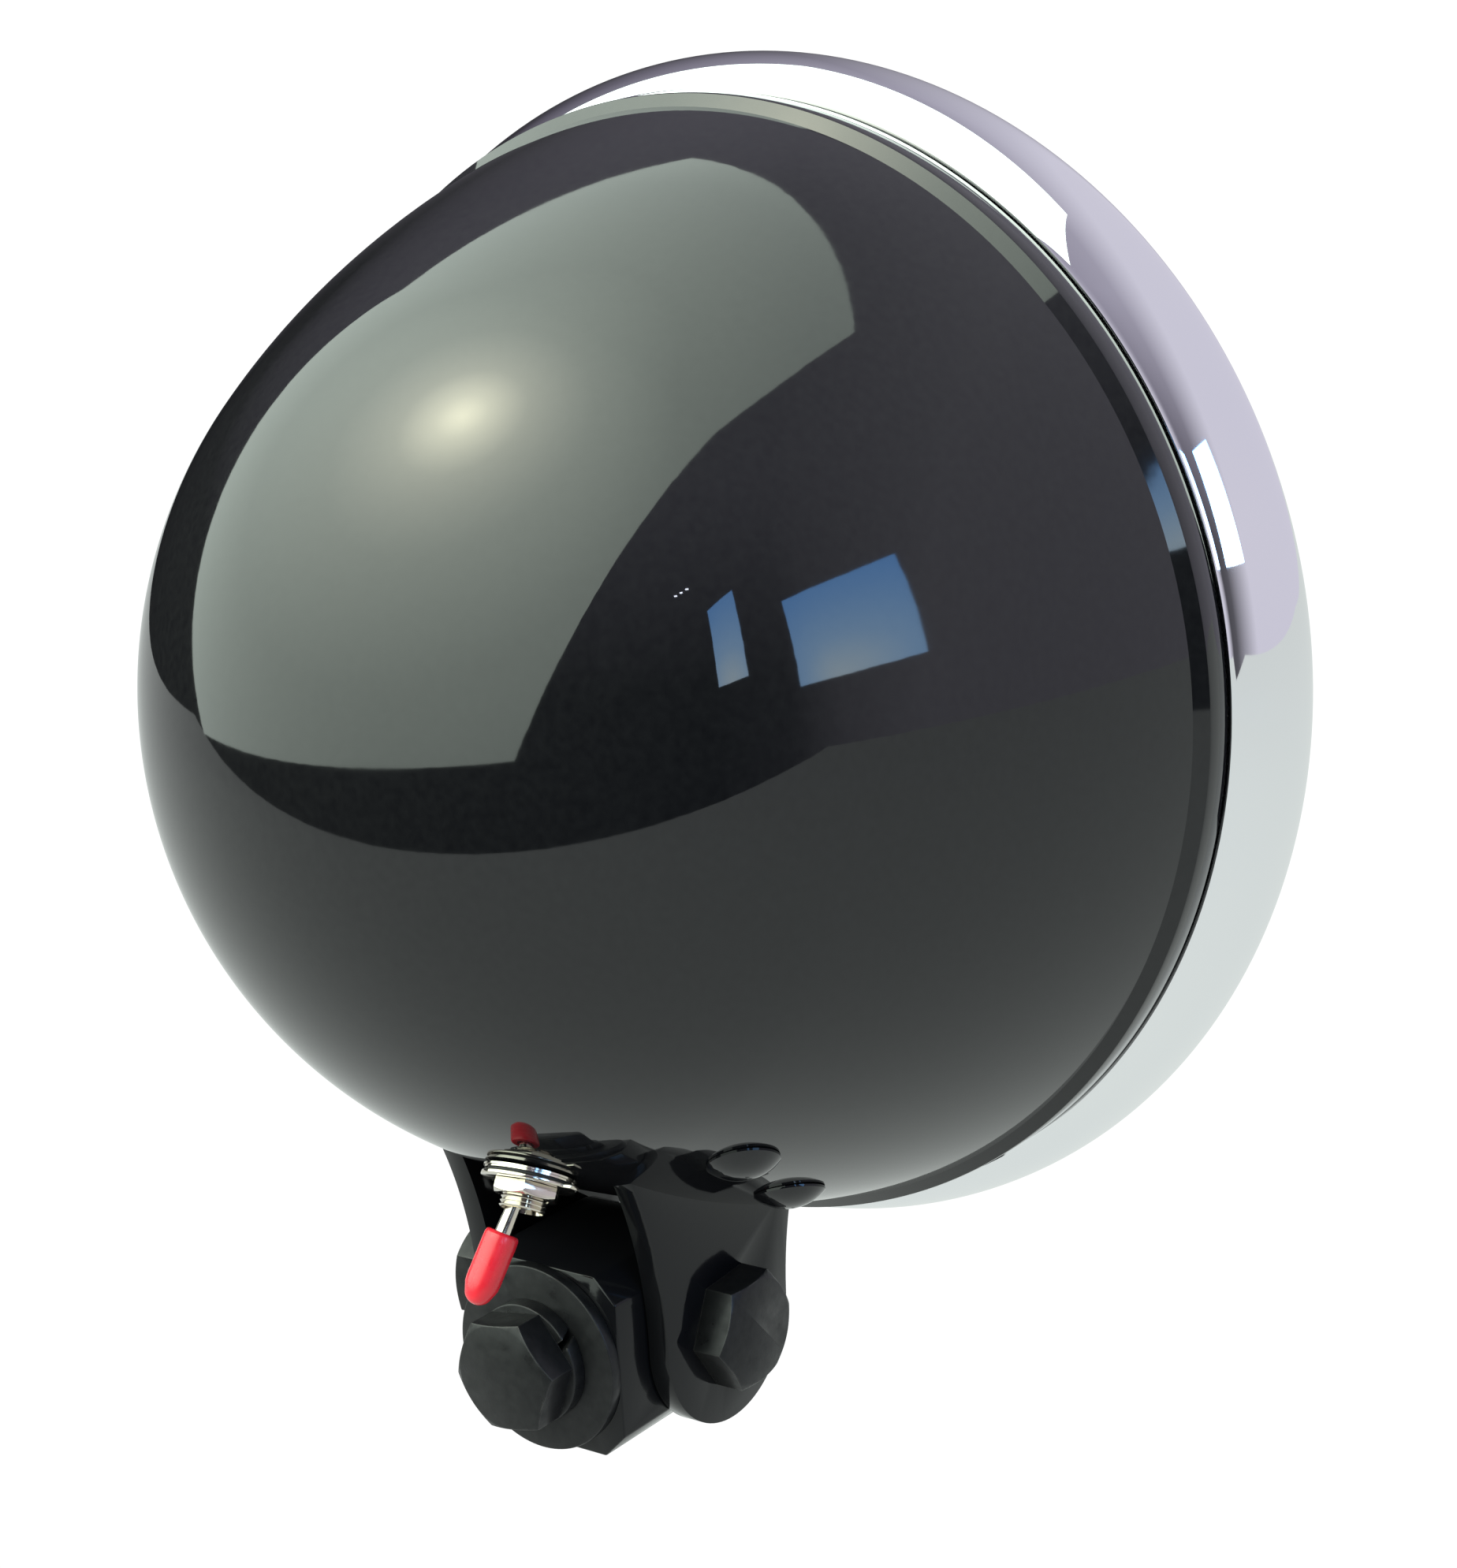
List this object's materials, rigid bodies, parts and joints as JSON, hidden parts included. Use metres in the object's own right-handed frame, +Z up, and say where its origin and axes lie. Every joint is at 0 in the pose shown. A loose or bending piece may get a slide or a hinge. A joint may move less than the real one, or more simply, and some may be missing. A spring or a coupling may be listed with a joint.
{
  "type": "swivel headlamp",
  "caption": "Round bowl headlamp with a chrome trim ring, a two-ear bracket swivelling on a square bolted block, and a small capped toggle switch underneath.",
  "frame": {"origin": "centre of the mounting block's rear face, on the mounting bolt's axis", "axes": "+Z up, +Y out of the block's rear face along the mounting bolt, so the lamp shines along -Y; X along the pivot bolt"},
  "size_m": [0.165, 0.1135, 0.18],
  "materials": {
    "black_paint": "gloss",
    "bracket_paint": "gloss",
    "rivet_paint": "gloss",
    "chrome": "polished",
    "clear_glass": "clear",
    "silvered": "polished",
    "zinc_steel": "satin",
    "black_rubber": "matte",
    "plug_plastic": "matte",
    "black_oxide": "satin",
    "nickel": "satin",
    "red_vinyl": "gloss"
  },
  "bodies": {
    "mount": {"mount_block": "bracket_paint", "mount_bolt": "black_oxide", "mount_lock_washer": "black_oxide", "mount_flat_washer": "black_oxide"},
    "lamp": {"bowl": "black_paint", "trim_ring": "chrome", "lens_glass": "clear_glass", "lens_gasket": "black_rubber", "reflector": "silvered", "retaining_ring": "zinc_steel", "trim_clips": "zinc_steel", "bulb_glass": "clear_glass", "bulb_base": "zinc_steel", "bulb_terminals": "zinc_steel", "bulb_boot": "black_rubber", "connector_plug": "plug_plastic", "bracket_ear_left": "bracket_paint", "bracket_ear_right": "bracket_paint", "bracket_rivets": "rivet_paint", "pivot_bolt": "black_oxide", "pivot_lock_washer": "black_oxide", "pivot_nut": "black_oxide", "wire_grommet": "black_rubber", "switch_bushing": "nickel", "switch_housing": "plug_plastic", "switch_terminals": "nickel", "switch_backing_washer": "nickel", "switch_seal": "black_rubber", "switch_lock_washer": "nickel", "switch_key_washer": "nickel", "switch_nut": "nickel"},
    "toggle": {"toggle_lever": "nickel", "lever_cap": "red_vinyl"}
  },
  "joints": [
    {"name": "lamp_tilt", "type": "hinge", "parent": "mount", "child": "lamp", "pos_m": [0, -0.0195, 0], "axis": [1, 0, 0], "range_deg": [-15, 20]},
    {"name": "toggle_throw", "type": "hinge", "parent": "lamp", "child": "toggle", "pos_m": [-0.00485, 0.00473, 0.03009], "axis": [-0.0414, 0.8411, 0.5393], "range_deg": [0, 24]}
  ]
}
